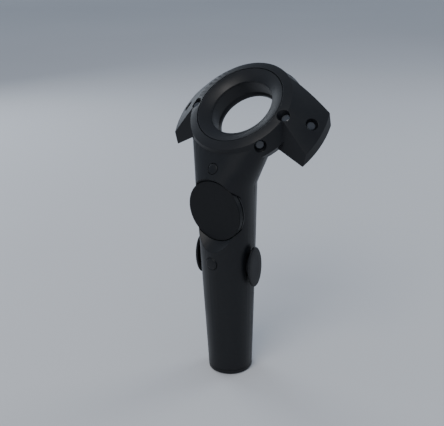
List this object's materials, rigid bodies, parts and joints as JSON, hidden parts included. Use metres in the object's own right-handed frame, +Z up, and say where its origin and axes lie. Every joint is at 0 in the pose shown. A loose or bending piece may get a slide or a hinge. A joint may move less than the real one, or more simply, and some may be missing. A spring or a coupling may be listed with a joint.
{
  "type": "vr motion controller",
  "caption": "Handheld motion controller: tapered round handle, tilted ring head with two swept wings, round touch pad, press buttons, side grips and a rear trigger.",
  "frame": {"origin": "centre of the flat base of the handle", "axes": "+Z up along the handle, -Y towards the touch pad, +X to the right with the pad facing the viewer"},
  "size_m": [0.1088, 0.0719, 0.2001],
  "materials": {
    "shell": "satin black moulded shell",
    "pad": "smooth black touch surface",
    "button": "satin black buttons",
    "sensor_window": "grey infrared window",
    "steel": "bright steel",
    "board": "green solder mask",
    "cell": "shrink-wrapped cell",
    "switch": "moulded push switch"
  },
  "bodies": {
    "body": {"base_cap": "shell", "battery": "cell", "front_housing": "shell", "grip_switch_left": "switch", "grip_switch_right": "switch", "haptic_motor": "steel", "head_board": "board", "housing_screw_1": "steel", "housing_screw_2": "steel", "main_board": "board", "menu_switch": "switch", "rear_housing": "shell", "ring_face": "shell", "sensor_window_back_left": "sensor_window", "sensor_window_back_right": "sensor_window", "sensor_window_crown_left": "sensor_window", "sensor_window_crown_right": "sensor_window", "sensor_window_flank_left": "sensor_window", "sensor_window_flank_right": "sensor_window", "sensor_window_inner_left": "sensor_window", "sensor_window_inner_right": "sensor_window", "sensor_window_outer_left": "sensor_window", "sensor_window_outer_right": "sensor_window", "system_switch": "switch", "trackpad_guide_ring": "shell", "trackpad_switch": "switch", "trigger_pin": "steel", "trigger_spring": "steel", "usb_port": "steel", "wing_cover_left": "shell", "wing_cover_right": "shell"},
    "trackpad": {"trackpad": "pad"},
    "menu_button": {"menu_button": "button"},
    "system_button": {"system_button": "button"},
    "grip_left": {"grip_button_left": "button"},
    "grip_right": {"grip_button_right": "button"},
    "trigger": {"trigger": "button"}
  },
  "joints": [
    {"name": "trackpad_press", "type": "slide", "parent": "body", "child": "trackpad", "axis": [0, 0.9978, 0.0663], "range_m": [0, 0.0006], "stiffness_N_per_m": 1500},
    {"name": "menu_press", "type": "slide", "parent": "body", "child": "menu_button", "axis": [0, 0.8943, -0.4475], "range_m": [0, 0.0006], "stiffness_N_per_m": 1200},
    {"name": "system_press", "type": "slide", "parent": "body", "child": "system_button", "axis": [0, 1, 0], "range_m": [0, 0.0006], "stiffness_N_per_m": 1200},
    {"name": "grip_left_press", "type": "slide", "parent": "body", "child": "grip_left", "axis": [1, 0, 0], "range_m": [0, 0.0008], "stiffness_N_per_m": 1500},
    {"name": "grip_right_press", "type": "slide", "parent": "body", "child": "grip_right", "axis": [-1, 0, 0], "range_m": [0, 0.0008], "stiffness_N_per_m": 1500},
    {"name": "trigger_pull", "type": "hinge", "parent": "body", "child": "trigger", "pos_m": [0, 0.012, 0.124], "axis": [-1, 0, 0], "range_deg": [0, 16], "stiffness_Nm_per_rad": 0.06}
  ]
}
